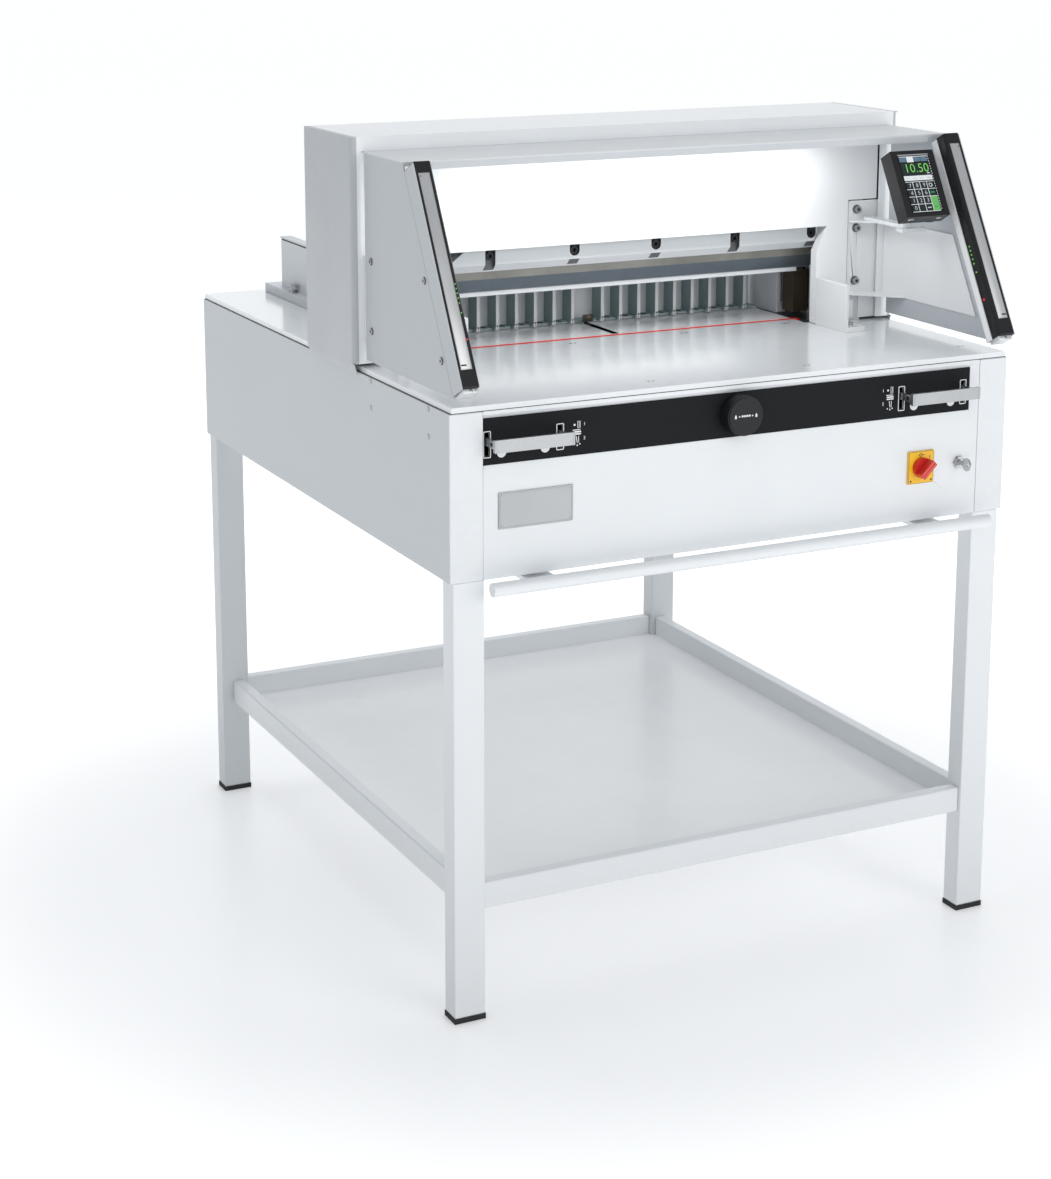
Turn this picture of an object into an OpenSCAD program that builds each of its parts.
// Electric guillotine paper cutter on a stand: a throat 78 mm high, a powered knife,
// a hydraulic clamp and a powered back gauge.
// The machine's frame: X to the right from the middle, Y back from the body's front face,
// Z up from the floor. machine() then moves the middle of the overall depth to Y = 0.

/* [Body] */
// Width of the body across its side panels
body_w = 930; // [900:5:960]
// Depth of the body from front to rear panel
body_d = 1030; // [1000:5:1080]
// Height of the body's lower edge
body_bottom = 653; // [640:1:665]
// Height of the table surface
table_z = 900; // [895:1:905]
// Thickness of the table plates
table_t = 8.5; // [6:0.5:10]
// Thickness of the sheet-metal panels
sheet = 2; // [1.5:0.5:2]

/* [Stand] */
// Width of a leg tube
leg_w = 48; // [40:1:55]
// Depth of a leg tube
leg_d = 35; // [30:1:45]
// Height of a shelf rail
rail_h = 40; // [30:1:45]
// Thickness of a shelf rail
rail_t = 20; // [15:1:25]
// Height of the rails' lower faces
rail_z = 165; // [120:1:250]

/* [Top cover] */
// Height of the cover's top
cover_top = 1237; // [1235:1:1245]
// How far the cover stands outside the body on each side
cover_out = 9; // [6:1:12]
// Front face of the cover
cover_front = 318; // [316:1:318]
// Depth of the cover
cover_depth = 187; // [186:1:200]

/* [Guard] */
// Height of the guard's top
guard_top_z = 1216; // [1214:1:1220]
// Lower edge of the guard's side panels
guard_bottom = 912; // [910:1:916]
// Front edge of the guard's top
guard_front = 166; // [160:1:175]
// How far the guard stands inside the body on each side
guard_in = 7; // [6:1:9]

/* [Cutting] */
// Half the width of the opening in the front cover
throat_half = 328; // [326:1:330]
// Clear height under the raised clamp
throat_h = 78; // [70:1:80]
// Distance from the body's front to the cutting line
cut_y = 380; // [378:1:381]
// Fall of the knife from its rest to the cutting stick
knife_drop = 86.2; // [80:0.1:86.2]
// Sideways travel of the knife on the way down
knife_shift = 36; // [20:1:38]
// Distance from the cutting line to the back gauge at rest
gauge_set = 105; // [80:1:140]

/* [Hidden] */
$fn = 48;

// --- Derived positions ---
half_w = body_w / 2;
bar_reach = 42;
front_y = bar_reach / 2 - body_d / 2;
table_under = table_z - table_t;
body_top = table_under;
panel_x = half_w - sheet;
return_w = 50;
leg_x = half_w - 4.5;
leg_y = 2;
foot_h = 8;
rail_top = rail_z + rail_h;
rail_x = leg_x - 20;
rail_y = leg_y + 5.5;
shelf_z = rail_top - 36;

frame_in = 392;
frame_t = 25;
frame_front = 326;
frame_back = 500;
base_z = body_bottom + sheet;
base_top = base_z + 3;

cover_x = half_w + cover_out;
cover_back = cover_front + cover_depth;
cover_side_z = table_z + 4;
cover_lip_z = table_z - 11;
cover_wall = 1.5;
wall_y = cover_front + 3;
wall_x = 386;
opening_top = 1058;

guard_x = half_w - guard_in;
slant_angle = atan2(guard_front + 2, guard_top_z - guard_bottom);
light_z0 = -341;
light_z1 = -13;
light_w = 27;
light_d = 32;
light_wall = 1.2;
light_x = guard_x - light_wall - 0.1 - light_w / 2;
bracket_screw_x = 403;
bracket_screw_z = [966, 1052, 1082];
bracket_t = 2.5;
bracket_z0 = 943;
bracket_z1 = 1062;

knife_t = 10;
knife_edge = table_z + knife_drop;
knife_h = 110;
knife_x0 = -309;
knife_x1 = 381;
carrier_x1 = 349;
carrier_front = cut_y - 40;
carrier_back = cut_y - knife_t;
carrier_z = 1021;
carrier_top = 1222;
screw_x0 = -242;
screw_pitch = 142.75;
screw_z = 1046;
pocket_r = 8.5;
pocket_d = 9;
guide_z = 1112;
guide_xs = [-150, 190];
guide_r = 12;
knife_travel = sqrt(knife_drop * knife_drop + knife_shift * knife_shift);
knife_lean = atan2(knife_shift, knife_drop);

crank_x = 330;
crank_z = 760;
crank_r = knife_drop / 2;
crank_pin_r = 8;
yoke_y = 346;
yoke_t = 14;
yoke_h = 80;
yoke_top = crank_z + crank_r - 38 + yoke_h;
arm_x = 362;

clamp_y = cut_y + 2;
clamp_d = 40;
clamp_half = throat_half + 2;
clamp_z = table_z + throat_h;
clamp_mid = clamp_z + 80;
rod_x = 372;
rod_y = cut_y + 24;
rod_r = 9;
yoke_z = 860;

gauge_y = cut_y + gauge_set;
gauge_half = 322;
gauge_gap = 2;
gauge_top = table_z + 75;
rib_d = 32;
rib_w = 5;
rib_x0 = 27;
rib_pitch = 33.5;
rib_count = 9;
spindle_z = 868;
spindle_r = 8;
spindle_y0 = cut_y + 40;
spindle_y1 = 984;
spindle_end_y = 950;
nut_y = gauge_y + 30;

strip_x0 = -413;
strip_x1 = 400;
strip_z0 = 814.5;
strip_z1 = 880.5;
strip_y = 4.5;
recess_y = 6;
slots = [[-407, -295], [276, 388]];
slot_w = 8;
slot_z0 = 827;
slot_z1 = 860;
handle_y = -32;
handle_z = 848;
handle_pivot_y = 70;
jog_x = -9;
jog_z = 849;
switch_x = 311;
switch_z = 736;
lock_x = 382;

inlet = [-320, 701];

bar_y = -32;
bar_z = 648;
bar_r = 10;
bar_half = 417;
bar_arm_x = 328;
bar_arm_w = 44;
bar_pivot_y = 70;
bar_pivot_z = 645;

post_x = 392;
post_y = 176;
post_r = 6;
display_w = 79;
display_h = 108;
display_t = 26.6;
display_c = [372.5, 122, 1142.6];

// --- Helpers ---
// Moves a piece from the machine's frame to the model's own frame
module machine() {
  translate([0, front_y, 0]) children();
}

// A box given by its lowest and highest corners
module block(lo, hi) {
  translate(lo) cube(hi - lo);
}

// Draws its children as they are for side 1 and mirrored in X for side -1
module on_side(side) {
  if (side > 0) children();
  else mirror([1, 0, 0]) children();
}

// Draws its children on both sides of the machine
module both_sides() {
  for (side = [-1, 1]) on_side(side) children();
}

// A plate in the YZ plane, from x0 towards +X, with an outline of [y, z] points
module yz_plate(x0, t, outline) {
  translate([x0, 0, 0]) rotate([90, 0, 90]) linear_extrude(t) polygon(outline);
}

// A plate in the XZ plane, from y0 towards +Y, with an outline of [x, z] points
module xz_plate(y0, t, outline) {
  translate([0, y0 + t, 0]) rotate([90, 0, 0]) linear_extrude(t) polygon(outline);
}

// A cylinder along X, Y or Z that starts at the point from
module rod_x_axis(from, r, len) {
  translate(from) rotate([0, 90, 0]) cylinder(r = r, h = len);
}

module rod_y_axis(from, r, len) {
  translate(from) rotate([-90, 0, 0]) cylinder(r = r, h = len);
}

// Puts its children at the top of the guard's slanted edge: local -Z runs down the slant
// and local -Y points out of it
module on_slant(x) {
  translate([x, guard_front + 2, guard_top_z]) rotate([-slant_angle, 0, 0]) children();
}

// A hexagon socket screw head that faces -Y, with its socket
module socket_head_y(at, r, h) {
  difference() {
    rod_y_axis(at, r, h);
    translate(at - [0, 0.1, 0]) rotate([-90, 0, 0]) cylinder(r = r * 0.5, h = h * 0.6, $fn = 6);
  }
}

// --- Stand ---
module leg(side, y0) {
  wall = 2;
  on_side(side) difference() {
    block([leg_x - leg_w, y0, foot_h], [leg_x, y0 + leg_d, body_bottom]);
    block([leg_x - leg_w + wall, y0 + wall, foot_h - 1],
          [leg_x - wall, y0 + leg_d - wall, body_bottom - 4]);
  }
}

rear_leg_y = body_d - leg_y - leg_d;

module leg_front_left() {
  machine() color("whitesmoke") leg(-1, leg_y);
}

module leg_front_right() {
  machine() color("whitesmoke") leg(1, leg_y);
}

module leg_rear_left() {
  machine() color("whitesmoke") leg(-1, rear_leg_y);
}

module leg_rear_right() {
  machine() color("whitesmoke") leg(1, rear_leg_y);
}

// A black plastic pad under each leg
module foot_pads() {
  edge = 0.6;
  machine() color("dimgray") both_sides() for (y = [leg_y, rear_leg_y])
    block([leg_x - leg_w - edge, y - edge, 0], [leg_x + edge, y + leg_d + edge, foot_h]);
}

// Four tubes between the legs
module shelf_rails() {
  side_x0 = rail_x - rail_t;
  inner_leg = leg_x - leg_w;
  machine() color("whitesmoke") {
    for (y = [rail_y, body_d - rail_y - rail_t])
      block([-inner_leg, y, rail_z], [inner_leg, y + rail_t, rail_top]);
    both_sides()
      block([side_x0, leg_y + leg_d, rail_z], [rail_x, rear_leg_y, rail_top]);
  }
}

module shelf_sheet() {
  side_x0 = rail_x - rail_t;
  y0 = rail_y + rail_t;
  machine() color("lightgray") difference() {
    block([-side_x0, y0, shelf_z - sheet], [side_x0, body_d - y0, shelf_z]);
    both_sides() for (y = [0, rear_leg_y])
      block([leg_x - leg_w, y, shelf_z - sheet - 1], [leg_x, y + leg_y + leg_d, shelf_z + 1]);
  }
}

// --- Body ---
// A side panel, bent round the front and rear corners and turned in at the bottom
module side_panel(side) {
  on_side(side) difference() {
    block([half_w - return_w, 0, body_bottom], [half_w, body_d, body_top]);
    block([half_w - return_w - 1, sheet, base_z], [panel_x, body_d - sheet, body_top + 1]);
    block([0, return_w, body_bottom - 1], [half_w - 30, body_d - return_w, base_z + 1]);
  }
}

module side_panel_left() {
  machine() color("gainsboro") side_panel(-1);
}

module side_panel_right() {
  machine() color("gainsboro") side_panel(1);
}

// The front panel is one folded sheet, with a recess for the control strip
module front_panel() {
  x = half_w - return_w;
  y0 = 1;
  z0 = strip_z0 - 0.5;
  z1 = strip_z1 + 0.5;
  slope = 22;
  outline = [
    [y0, body_bottom], [y0, z0 - slope], [recess_y, z0], [recess_y, z1], [y0, z1 + 5],
    [y0, body_top], [y0 + sheet, body_top], [y0 + sheet, z1 + 6], [recess_y + sheet, z1 + 1],
    [recess_y + sheet, z0 - 1], [y0 + sheet, z0 - slope - 1], [y0 + sheet, body_bottom]
  ];
  machine() color("white") difference() {
    union() {
      yz_plate(-x, 2 * x, outline);
      translate([0, 0, z0 - slope]) linear_extrude(z1 + 5 - z0 + slope)
        polygon([[strip_x1 + 1, recess_y], [strip_x1 + 10, y0], [x, y0], [x, recess_y]]);
    }
    handle_slots(0, recess_y + 10);
    rod_y_axis([jog_x, 0, jog_z], 7, 20);
    rod_y_axis([switch_x, 0, switch_z], 9, 20);
    rod_y_axis([lock_x, 0, switch_z], 7.3, 20);
  }
}

// The upright slots that the handles' arms move in
module handle_slots(y0, y1) {
  for (pair = slots) for (x = pair)
    block([x - slot_w / 2, y0, slot_z0], [x + slot_w / 2, y1, slot_z1]);
}

module control_strip() {
  machine() color("#23262a") difference() {
    block([strip_x0, strip_y, strip_z0], [strip_x1, recess_y, strip_z1]);
    handle_slots(0, recess_y + 10);
    rod_y_axis([jog_x, 0, jog_z], 7, 20);
  }
}

module rear_panel() {
  x = half_w - return_w;
  machine() color("gainsboro") difference() {
    block([-x, body_d - 1 - sheet, base_top], [x, body_d - 1, body_top]);
    block([inlet.x - 14, body_d - 10, inlet.y - 12], [inlet.x + 14, body_d, inlet.y + 12]);
    for (i = [0:9]) block([180 + i * 16, body_d - 10, 700], [186 + i * 16, body_d, 780]);
  }
}

module base_plate() {
  machine() color("silver") block([-panel_x, sheet + 1, base_z], [panel_x, body_d - sheet, base_top]);
}

// --- Table ---
// The gap on each side of the throat that the knife's arm and the clamp's rods pass through
module table_gaps() {
  both_sides()
    block([throat_half - 6, carrier_front - 2, table_under - 1],
          [frame_in + frame_t + 1, frame_back + 2, table_z + 1]);
}

module front_table() {
  edge = 3;
  machine() color("white") difference() {
    block([edge - half_w, 1, table_under], [half_w - edge, cut_y - 6, table_z]);
    table_gaps();
    both_sides()
      block([frame_in - 1, frame_front - 1, table_under - 1],
            [frame_in + frame_t + 1, cut_y, table_z + 1]);
  }
}

module rear_table() {
  edge = 3;
  machine() color("white") difference() {
    block([edge - half_w, cut_y + 6, table_under], [half_w - edge, body_d - 1, table_z]);
    table_gaps();
    block([-6, cut_y + 8, table_under - 1], [6, 975, table_z + 1]);
  }
}

// The plastic stick that the knife cuts down on
module cutting_stick() {
  machine() color("#c22018")
    block([-throat_half - 5, cut_y - 6, table_z - 12], [throat_half + 5, cut_y + 6, table_z - 0.2]);
}

// The steel channel that holds the cutting stick and joins the side frames
module stick_channel() {
  z0 = table_z - 20;
  lip = 14;
  machine() color("gray") difference() {
    block([-frame_in, cut_y - lip, z0], [frame_in, cut_y + lip, table_under]);
    block([-throat_half - 5, cut_y - 6, table_z - 12], [throat_half + 5, cut_y + 6, table_z]);
  }
}

// --- Side frames and guides ---
module side_frame(side) {
  foot = 60;
  on_side(side) difference() {
    union() {
      block([frame_in, frame_front, base_top],
            [frame_in + frame_t, frame_back, cover_top - cover_wall]);
      block([frame_in - 4, frame_front + 6, base_top],
            [frame_in + frame_t + 4, frame_back + foot, base_top + 16]);
    }
    for (z = bracket_screw_z) rod_y_axis([bracket_screw_x, frame_front - 1, z], 3.3, 26);
  }
}

module side_frame_left() {
  machine() color("lightslategray") side_frame(-1);
}

module side_frame_right() {
  machine() color("lightslategray") side_frame(1);
}

module cross_beam() {
  y0 = cut_y + 2;
  machine() color("lightslategray") difference() {
    block([-frame_in, y0, 1086], [frame_in, y0 + 70, 1150]);
    block([-frame_in + 30, y0 + 14, 1100], [frame_in - 30, y0 + 71, 1136]);
  }
}

// Two flanged pins on the cross beam that run in the carrier's leaning slots
module knife_guides() {
  machine() color("silver") for (x = guide_xs) {
    rod_y_axis([x, carrier_front - 0.5, guide_z], guide_r, cut_y + 2.5 - carrier_front);
    rod_y_axis([x, carrier_front - 6, guide_z], guide_r + 5, 5.5);
  }
}

// Bronze blocks at both ends of the clamp
module clamp_guides() {
  machine() color("#6b5a3c") both_sides() {
    block([clamp_half + 1, clamp_y + 10, table_z + 8],
          [clamp_half + 28, clamp_y + 42, clamp_z - 1]);
    block([clamp_half + 28, clamp_y + 33, table_z + 8], [frame_in, clamp_y + 42, clamp_z - 1]);
  }
}

// --- Covers ---
// The tall cover is one folded sheet over the frames, open below
module top_cover() {
  t = cover_wall;
  r = 8;
  side_outline = [
    [cover_front + r, cover_side_z], [cover_front + r, cover_top - t],
    [cover_back, cover_top - t], [cover_back, cover_side_z]
  ];
  lip_in = 4.5;
  lip = [
    [cover_x - t, cover_side_z], [cover_x, cover_side_z],
    [cover_x - lip_in, cover_lip_z], [cover_x - lip_in - t, cover_lip_z]
  ];
  return_x = guard_x - 16;
  rear_z = 1014;
  machine() color("gainsboro") {
    block([-cover_x, cover_front, cover_top - t], [cover_x, cover_back, cover_top]);
    both_sides() {
      yz_plate(cover_x - t, t, side_outline);
      xz_plate(cover_front, cover_depth, lip);
      block([return_x, cover_front, cover_side_z], [cover_x - r, cover_front + t, cover_top - t]);
      corner_bend(r, t);
      block([366, cover_back - t, cover_side_z], [cover_x, cover_back, rear_z]);
    }
    block([-cover_x, cover_back - t, rear_z], [cover_x, cover_back, cover_top - t]);
    block([r - cover_x, cover_front, guard_top_z], [cover_x - r, cover_front + t, cover_top - t]);
  }
}

// The cover's rounded front corner, a quarter of a tube from its lower edge to its top
module corner_bend(r, t) {
  intersection() {
    translate([cover_x - r, cover_front + r, cover_side_z]) difference() {
      cylinder(r = r, h = cover_top - cover_wall - cover_side_z);
      translate([0, 0, -1]) cylinder(r = r - t, h = cover_top);
    }
    block([cover_x - r, cover_front, cover_side_z], [cover_x, cover_front + r, cover_top]);
  }
}

// The flat wall in front of the knife, with its fixing tabs and the throat's opening, which
// has a flange bent in along each side
module front_cover() {
  chamfer_z = 1018;
  wide = throat_half + 18;
  wing_x = guard_x - 18;
  wing_z = 1098;
  outline = [
    [-wall_x, table_z + 1], [-throat_half, table_z + 1], [-throat_half, chamfer_z],
    [-wide, opening_top], [wide, opening_top], [throat_half, chamfer_z],
    [throat_half, table_z + 1], [wall_x, table_z + 1], [wall_x, wing_z], [wing_x, wing_z],
    [wing_x, guard_top_z - 2], [-wing_x, guard_top_z - 2], [-wing_x, wing_z], [-wall_x, wing_z]
  ];
  machine() color("white") {
    xz_plate(wall_y, sheet, outline);
    both_sides() {
      xz_plate(wall_y, 17, [
        [throat_half, table_z + 1], [throat_half, chamfer_z], [wide, opening_top],
        [wide + 2, opening_top], [throat_half + 2, chamfer_z], [throat_half + 2, table_z + 1]
      ]);
      for (z = [[905, 935], [1112, 1200]])
        block([wall_x - 10, wall_y + sheet, z[0]], [frame_in + 10, frame_front, z[1]]);
    }
  }
}

// --- Guard ---
module guard_top() {
  t = 2;
  lip = 12;
  inner = guard_x - t - 0.1;
  between = light_x - light_w / 2 - 4;
  machine() color("whitesmoke") {
    block([-guard_x, guard_front, guard_top_z - t], [guard_x, cover_front - 0.2, guard_top_z]);
    block([-inner, guard_front, guard_top_z - lip / 2], [inner, guard_front + t, guard_top_z - t]);
    block([-between, guard_front, guard_top_z - lip], [between, guard_front + t, guard_top_z - t]);
  }
}

// A side panel of the guard, with the channel along its slanted edge that holds a light bar
module guard_panel(side) {
  t = 2;
  top = guard_top_z - t;
  outline = [
    [cover_front - 10, guard_bottom], [cover_front - 10, top],
    [guard_front + t, top], [0, guard_bottom]
  ];
  bottom = light_z0 - 2;
  channel_t = 1.5;
  channel_w = light_w + light_wall + 0.2 + channel_t;
  lip = 12;
  on_side(side) {
    yz_plate(guard_x - t, t, outline);
    on_slant(guard_x) {
      block([-light_wall, -light_d, bottom], [0, channel_t, -15]);
      block([-channel_w, 0, bottom], [0, channel_t, -15]);
      block([-channel_w, -lip, bottom], [channel_t - channel_w, 0, -15]);
    }
  }
}

module guard_panel_left() {
  machine() color("gainsboro") guard_panel(-1);
}

module guard_panel_right() {
  machine() color("gainsboro") guard_panel(1);
}

// The brackets that carry the guard on the side frames: a back plate, a side plate inside
// the guard's panel and two shelves between them
module guard_brackets() {
  t = bracket_t;
  z0 = bracket_z0;
  z1 = bracket_z1;
  inner = guard_x - 2;
  plate_y = frame_front - t;
  side_y = cover_front - 0.5;
  return_x = guard_x - 16.5;
  lean = (guard_front + 2) / (guard_top_z - guard_bottom);
  side_outline = [
    [side_y, z0], [side_y, z1],
    [(z1 - guard_bottom) * lean + 50, z1], [(z0 - guard_bottom) * lean + 50, z0]
  ];
  shelf = [
    [388, plate_y], [388, plate_y - 4], [inner, plate_y - 72], [inner, side_y],
    [return_x, side_y], [return_x, plate_y]
  ];
  machine() color("white") both_sides() {
    difference() {
      union() {
        block([388, plate_y, z0], [inner, frame_front, 1096]);
        block([412, plate_y, guard_bottom - 8], [inner, frame_front, z0]);
      }
      for (z = bracket_screw_z) rod_y_axis([bracket_screw_x, plate_y - 1, z], 3.3, 10);
    }
    yz_plate(inner - t, t, side_outline);
    for (z = [z0, z1]) translate([0, 0, z]) linear_extrude(t) polygon(shelf);
  }
}

// A light-curtain bar along the slanted edge: a housing with its window and end caps
module light_bar(side) {
  cap = 7;
  half = light_w / 2;
  chamfer = 3;
  outline = [
    [half, -0.2], [half, -light_d], [chamfer - half, -light_d],
    [-half, chamfer + 1 - light_d], [-half, -0.2]
  ];
  on_side(side) on_slant(light_x) {
    difference() {
      translate([0, 0, light_z0]) linear_extrude(light_z1 - light_z0) polygon(outline);
      block([6.5 - half, -light_d - 1, light_z0 + 25],
            [half - 3.5, 0.8 - light_d, light_z1 - 17]);
      block([-half - 1, 12 - light_d, light_z0 + 12], [1 - half, 17 - light_d, light_z1 - 12]);
    }
    block([2 - half, 6 - light_d, light_z0 - cap], [half - 2, -3, light_z0]);
  }
}

module light_bar_left() {
  machine() color("#1b1d20") light_bar(-1);
}

module light_bar_right() {
  machine() color("#1b1d20") light_bar(1);
}

// --- Stops and guides on the table ---
// An upright plate with a screwed foot on each side of the front table
module side_stops() {
  y0 = 234;
  h = 76;
  foot = 38;
  machine() color("whitesmoke") both_sides() {
    block([throat_half, y0, table_z], [throat_half + 6, wall_y - 0.3, table_z + h]);
    difference() {
      block([throat_half + 6, y0, table_z], [throat_half + foot, y0 + 44, table_z + 8]);
      translate([throat_half + 22, y0 + 22, table_z - 1]) cylinder(r = 3.3, h = 12);
    }
  }
}

// A rail, an upright and a cap on each side of the rear table
module rear_guides() {
  y0 = cut_y + 58;
  y1 = 960;
  rail_h0 = 16;
  h = 98;
  inner = throat_half;
  machine() color("lightgray") both_sides() {
    block([inner, frame_back + 12, table_z], [inner + 32, 1007, table_z + rail_h0]);
    difference() {
      block([inner, y0, table_z + rail_h0], [inner + 18, y1, table_z + h]);
      block([inner + 8, y0 - 1, table_z + rail_h0 + 2], [inner + 16, y0 + 12, table_z + h - 2]);
    }
    block([inner, y0, table_z], [inner + 18, frame_back + 12, table_z + rail_h0]);
    block([inner + 1.5, y0 + 1.5, table_z + h], [inner + 16.5, y1 - 1.5, table_z + h + 1.5]);
    block([inner - 1, y0, table_z + h + 1.5], [inner + 20, y1, table_z + h + 4.5]);
  }
}

// --- Small fittings ---
// Screws, washers and plugs that hold the fixed panels
module fasteners() {
  panel_screws = [[286, 1060], [286, 958], [96, 1060], [40, 958]];
  plugs = [[277, 886], [277, 847], [71, 886], [71, 847]];
  plate_y = frame_front - bracket_t;
  machine() color("silver") {
    both_sides() {
      for (p = panel_screws) rod_x_axis([guard_x, p.x, p.y], 4.5, 2.2);
      for (z = bracket_screw_z) {
        rod_y_axis([bracket_screw_x, plate_y, z], 3.25, 20);
        rod_y_axis([bracket_screw_x, plate_y - 1.6, z], 7.5, 1.6);
        socket_head_y([bracket_screw_x, plate_y - 7.6, z], 5.5, 6);
      }
      translate([throat_half + 22, 256, table_z + 8]) cylinder(r = 6, h = 4);
      for (y = [700, 888]) wing_screw([throat_half + 25, y, table_z + 16]);
      for (p = plugs) rod_x_axis([half_w, p.x, p.y], 4, 0.8);
    }
  }
}

module wing_screw(at) {
  translate(at) {
    cylinder(r = 7, h = 3);
    translate([0, 0, 3]) cylinder(r = 4.5, h = 8);
    translate([-2, -14, 6]) cube([4, 28, 7]);
  }
}

module nameplate() {
  machine() color("silver") block([-392, -1, 723], [-277, 1, 775]);
}

module switch_plate() {
  machine() color("gold") difference() {
    block([switch_x - 23, -3, switch_z - 25], [switch_x + 23, 1, switch_z + 25]);
    rod_y_axis([switch_x, -4, switch_z], 8, 10);
  }
}

module switch_knob() {
  machine() color("#c8201c") translate([switch_x, 0, switch_z]) {
    rod_y_axis([0, -9, 0], 15.5, 5.7);
    rod_y_axis([0, -4, 0], 7.9, 20);
    rotate([0, 45, 0]) block([-5, -24, -15], [5, -8, 15]);
  }
}

module key_lock() {
  machine() color("silver") difference() {
    union() {
      rod_y_axis([lock_x, -4, switch_z], 9, 5);
      rod_y_axis([lock_x, 1, switch_z], 7, 26);
    }
    rod_y_axis([lock_x, -5, switch_z], 5.05, 20);
  }
}

module key() {
  machine() color("silver") translate([lock_x, 0, switch_z]) {
    rod_y_axis([0, -6, 0], 5, 18);
    block([-1, -12, -3], [1, -6, 3]);
    difference() {
      rod_x_axis([-1, -20, 0], 10, 2);
      rod_x_axis([-2, -24, 0], 2.5, 4);
    }
  }
}

// The round control that drives the gauge at a speed set by how far it is turned
module jog_knob() {
  machine() color("#26282b") {
    rod_y_axis([jog_x, -18, jog_z], 29, 20);
    rod_y_axis([jog_x, 2, jog_z], 6.9, 40);
    rod_y_axis([jog_x, -19.5, jog_z], 27, 1.5);
  }
}

module mains_inlet() {
  machine() color("#202224") translate([inlet.x, body_d, inlet.y]) {
    difference() {
      union() {
        block([-18, -1, -15], [18, 0, 15]);
        block([-13, -30, -11], [13, -1, 11]);
      }
      block([-10, -14, -8], [10, 1, 8]);
    }
    for (x = [-5, 0, 5]) rod_y_axis([x, -15, 0], 1.2, 10);
  }
}

// --- Handles ---
// A flat bar with two arms that pass through the slots to the pivot shaft
module handle(pair) {
  bar_h = 18;
  arm_h = 11;
  over = 5;
  wall = 5;
  difference() {
    union() {
      block([pair[0] - over, handle_y, handle_z - bar_h / 2],
            [pair[1] + over, handle_y + 6, handle_z + bar_h / 2]);
      for (x = pair) {
        block([x - wall / 2, handle_y + 6, handle_z - arm_h / 2],
              [x + wall / 2, handle_pivot_y, handle_z + arm_h / 2]);
        rod_x_axis([x - wall / 2, handle_pivot_y, handle_z], 11, wall);
      }
    }
    rod_x_axis([pair[0] - 10, handle_pivot_y, handle_z], 5.05, pair[1] - pair[0] + 20);
  }
}

module handle_left() {
  machine() color("silver") handle(slots[0]);
}

module handle_right() {
  machine() color("silver") handle(slots[1]);
}

// The handles' shafts and the pre-clamp bar's pins, with the ears that hold them
module pivot_brackets() {
  ear = 4;
  gap = 7;
  machine() color("darkgray") {
    for (pair = slots) {
      x0 = pair[0] - gap - ear;
      x1 = pair[1] + gap;
      rod_x_axis([x0, handle_pivot_y, handle_z], 5, x1 - x0 + ear);
      for (x = [x0, x1])
        block([x, handle_pivot_y - 10, handle_z - 12], [x + ear, handle_pivot_y + 10, table_under]);
    }
    both_sides() {
      x0 = bar_arm_x - bar_arm_w / 2 - 1 - ear;
      x1 = bar_arm_x + bar_arm_w / 2 + 1;
      rod_x_axis([x0, bar_pivot_y, bar_pivot_z], 5, x1 - x0 + ear);
      for (x = [x0, x1])
        block([x, bar_pivot_y - 10, bar_pivot_z - 9], [x + ear, bar_pivot_y + 10, base_z]);
    }
  }
}

// The bar under the front edge that lowers the clamp, on two flat arms
module pre_clamp_bar() {
  x0 = bar_arm_x - bar_arm_w / 2;
  machine() color("silver") {
    rod_x_axis([-bar_half, bar_y, bar_z], bar_r, 2 * bar_half);
    both_sides() difference() {
      union() {
        block([x0, bar_y, bar_z - 6], [x0 + bar_arm_w, bar_pivot_y, bar_z]);
        rod_x_axis([x0, bar_pivot_y, bar_pivot_z], 9, bar_arm_w);
      }
      rod_x_axis([x0 - 1, bar_pivot_y, bar_pivot_z], 5.05, bar_arm_w + 2);
    }
  }
}

// --- Knife ---
// A leaning slot in the carrier: the knife's travel, seen from a fixed guide pin
module guide_slot(x) {
  r = guide_r + 0.5;
  t = 60;
  translate([x, carrier_front - 10, guide_z]) rotate([0, knife_lean, 0]) {
    rod_y_axis([0, 0, -1], r, t);
    rod_y_axis([0, 0, knife_travel + 1], r, t);
    block([-r, 0, -1], [r, t, knife_travel + 1]);
  }
}

// The carrier slides down and to the left; its arm reaches through the table to the crank
module knife_carrier() {
  outline = [
    [-322, carrier_z], [carrier_x1, carrier_z], [carrier_x1, carrier_top],
    [-284, carrier_top], [-284, 1056], [-322, 1028]
  ];
  bevel = 13;
  arm_w = 22;
  machine() color("#8a8f94") {
    difference() {
      xz_plate(carrier_front, carrier_back - carrier_front, outline);
      yz_plate(-400, 800, [
        [carrier_front - 1, carrier_z + bevel], [carrier_front - 1, carrier_z - 1],
        [carrier_front + bevel, carrier_z - 1]
      ]);
      for (x = guide_xs) guide_slot(x);
      for (i = [0:4]) screw_pocket(screw_x0 + i * screw_pitch, (i % 3 == 0) ? 30 : 0);
    }
    block([carrier_x1, yoke_y, 1070], [arm_x, yoke_y + yoke_t, 1120]);
    block([arm_x, yoke_y, yoke_top - 5], [arm_x + arm_w, yoke_y + yoke_t, 1120]);
    yoke();
  }
}

// The plate with the window that the crank's pin turns in
module yoke() {
  z0 = yoke_top - yoke_h;
  difference() {
    block([281, yoke_y, z0], [388, yoke_y + yoke_t, yoke_top]);
    block([292, yoke_y - 1, z0 + 18], [378, yoke_y + yoke_t + 1, z0 + 58]);
  }
}

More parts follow.
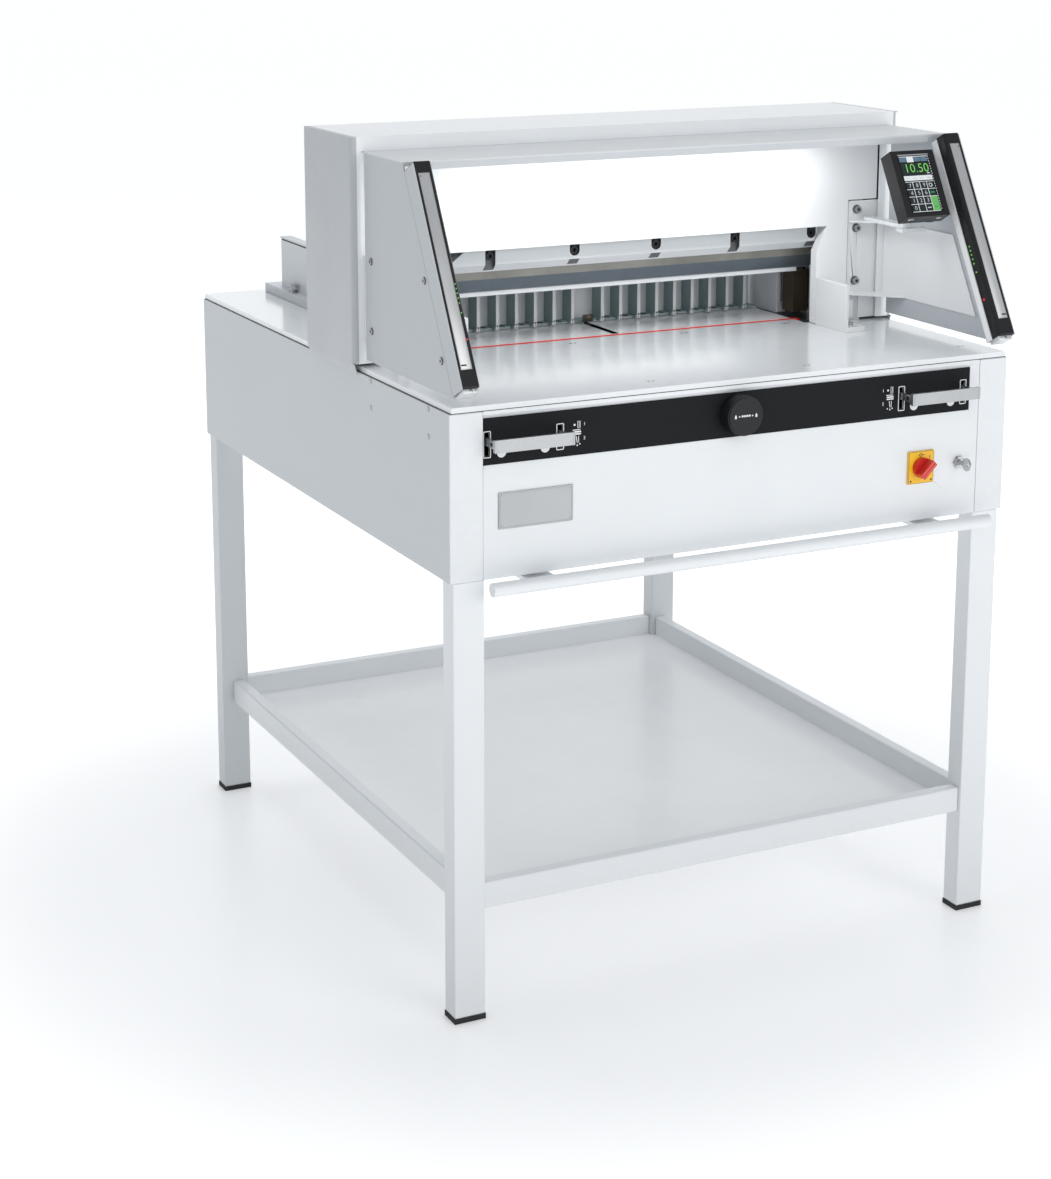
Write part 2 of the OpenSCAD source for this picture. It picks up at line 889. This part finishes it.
// A pocket in the carrier's front for a knife screw, open upwards and also downwards by the
// given length
module screw_pocket(x, down) {
  rod_y_axis([x, carrier_front - 1, screw_z], pocket_r, pocket_d + 1);
  block([x - pocket_r, carrier_front - 1, screw_z - down],
        [x + pocket_r, carrier_front + pocket_d, screw_z + 20]);
}

module knife() {
  bevel_h = 20;
  outline = [
    [cut_y, knife_edge], [cut_y, knife_edge + knife_h],
    [carrier_back, knife_edge + knife_h], [carrier_back, knife_edge + bevel_h]
  ];
  machine() color("#6f6a60") yz_plate(knife_x0, knife_x1 - knife_x0, outline);
}

module knife_screws() {
  machine() color("#232427") for (i = [0:4])
    socket_head_y([screw_x0 + i * screw_pitch, carrier_front + 1.8, screw_z], 6.5, pocket_d - 1.8);
}

// --- Clamp ---
module clamp_beam() {
  machine() color("#9aa0a6") {
    block([-clamp_half, clamp_y, clamp_z + 7], [clamp_half, clamp_y + clamp_d, clamp_mid]);
    block([-386, clamp_y, clamp_mid], [386, clamp_y + clamp_d, clamp_mid + 20]);
  }
}

module clamp_plate() {
  machine() color("whitesmoke")
    block([-clamp_half, clamp_y, clamp_z], [clamp_half, clamp_y + clamp_d, clamp_z + 7]);
}

// The rods, crosshead and piston rod that pull the clamp down
module clamp_rods() {
  head = 18;
  machine() color("silver") {
    both_sides() translate([rod_x, rod_y, yoke_z]) cylinder(r = rod_r, h = clamp_mid - yoke_z);
    block([-386, rod_y - 10, yoke_z - head], [386, rod_y + 10, yoke_z]);
    translate([0, rod_y, yoke_z - head - 100]) cylinder(r = 10, h = 100);
  }
}

module clamp_cylinder() {
  h = 102;
  machine() color("dimgray") translate([0, rod_y, base_top]) difference() {
    union() {
      block([-40, -34, 0], [40, 34, 14]);
      cylinder(r = 30, h = h);
    }
    translate([0, 0, 4]) cylinder(r = 10.05, h = h);
  }
}

// --- Back gauge ---
module back_gauge() {
  z0 = table_z + gauge_gap;
  wall = 8;
  nut_r = spindle_r + 0.05;
  machine() color("lightgray") {
    block([-gauge_half, gauge_y + rib_d, z0], [gauge_half, gauge_y + rib_d + wall, gauge_top]);
    block([-gauge_half, gauge_y + 10, z0], [gauge_half, gauge_y + rib_d, z0 + 3]);
    both_sides() for (i = [0:rib_count - 1]) gauge_rib(rib_x0 + i * rib_pitch, z0);
    block([-5, nut_y - 10, spindle_z + 17], [5, nut_y + 2, z0]);
    difference() {
      block([-20, nut_y - 20, spindle_z - 18], [20, nut_y + 20, spindle_z + 18]);
      rod_y_axis([0, nut_y - 21, spindle_z], nut_r, 42);
    }
  }
}

// One rib of the gauge, with a small round foot in front
module gauge_rib(x, z0) {
  foot_r = 5;
  block([x - rib_w / 2, gauge_y, z0], [x + rib_w / 2, gauge_y + rib_d, gauge_top]);
  translate([x, gauge_y + foot_r, z0]) cylinder(r = foot_r, h = 5);
}

module spindle() {
  machine() color("silver")
    rod_y_axis([0, spindle_y0, spindle_z], spindle_r, spindle_y1 - spindle_y0);
}

// The spindle's two bearings and the motor on its rear end, hung under the table
module gauge_drive() {
  w = 22;
  motor_len = 58;
  machine() color("dimgray") difference() {
    union() {
      block([-w, spindle_y0 - 2, spindle_z - w], [w, spindle_y0 + 12, table_under]);
      block([-w, spindle_end_y, spindle_z - w], [w, spindle_end_y + 12, table_under]);
      block([2 - w, spindle_end_y + 12, spindle_z - w + 2],
            [w - 2, spindle_end_y + 12 + motor_len, spindle_z + w - 2]);
    }
    rod_y_axis([0, spindle_y0 - 1, spindle_z], spindle_r + 0.05, 20);
    rod_y_axis([0, spindle_end_y - 1, spindle_z], spindle_r + 0.05, 38);
  }
}

// --- Drives ---
// The knife's gearbox on its foot, with its motor
module drive_unit() {
  y0 = 200;
  y1 = 325;
  machine() color("steelblue") difference() {
    union() {
      block([240, y0, 690], [384, y1, 830]);
      block([250, y0 + 10, base_top], [374, y1 - 10, 690]);
      rod_x_axis([60, y0 + 62, crank_z], 55, 180);
      rod_x_axis([48, y0 + 62, crank_z], 48, 12);
      block([90, y0 + 20, base_top], [210, y0 + 104, crank_z - 40]);
    }
    rod_y_axis([crank_x, y1 - 35, crank_z], 15.05, 40);
  }
}

module crank() {
  machine() color("gray") {
    rod_y_axis([crank_x, 294, crank_z], 15, 36);
    rod_y_axis([crank_x, 330, crank_z], 55, 10);
    rod_y_axis([crank_x, 340, crank_z + crank_r], crank_pin_r, 22);
  }
}

// The oil tank with its pump motor on top
module hydraulic_unit() {
  machine() color("steelblue") {
    block([-380, 150, base_top], [-180, 320, 770]);
    translate([-290, 235, 770]) cylinder(r = 45, h = 90);
    block([-225, 200, 770], [-190, 270, 810]);
  }
}

module control_box() {
  machine() color("silver") {
    block([-380, 560, base_top], [-150, 860, 760]);
    block([-370, 570, 760], [-160, 850, 763]);
  }
}

// --- Display ---
// A bar from the right bracket's upper shelf with the post that the display turns on
module display_arm() {
  z = bracket_z1 + bracket_t;
  t = 6;
  machine() color("whitesmoke") {
    block([412, post_y - 8, z], [428, cover_front - 4, z + t]);
    block([post_x - 8, post_y - 8, z], [428, post_y + 8, z + t]);
    translate([post_x, post_y, z]) cylinder(r = post_r, h = 60);
  }
}

// The display's case, leaning like the guard, with the collar that turns on the post
module display_unit() {
  collar_z = bracket_z1 + 22;
  collar_h = 26;
  machine() color("#26282b") difference() {
    union() {
      translate(display_c) rotate([-slant_angle, 0, 0])
        block([-display_w / 2, -display_t / 2, -display_h / 2],
              [display_w / 2, display_t / 2, display_h / 2]);
      translate([post_x, post_y, collar_z]) cylinder(r = post_r + 5, h = collar_h);
      block([post_x - 6, display_c.y - 14, collar_z + 4],
            [post_x + 6, post_y - 7, collar_z + collar_h - 2]);
    }
    translate([post_x, post_y, collar_z - 1]) cylinder(r = post_r + 0.05, h = collar_h + 2);
  }
}

leg_front_left();
leg_front_right();
leg_rear_left();
leg_rear_right();
foot_pads();
shelf_rails();
shelf_sheet();
side_panel_left();
side_panel_right();
front_panel();
rear_panel();
base_plate();
control_strip();
front_table();
rear_table();
cutting_stick();
stick_channel();
side_frame_left();
side_frame_right();
cross_beam();
knife_guides();
top_cover();
front_cover();
guard_top();
guard_panel_left();
guard_panel_right();
guard_brackets();
light_bar_left();
light_bar_right();
side_stops();
rear_guides();
clamp_guides();
fasteners();
nameplate();
switch_plate();
key_lock();
drive_unit();
crank();
hydraulic_unit();
clamp_cylinder();
gauge_drive();
spindle();
control_box();
mains_inlet();
display_arm();
display_unit();
switch_knob();
key();
jog_knob();
handle_left();
handle_right();
pivot_brackets();
pre_clamp_bar();
knife_carrier();
knife();
knife_screws();
clamp_beam();
clamp_plate();
clamp_rods();
back_gauge();
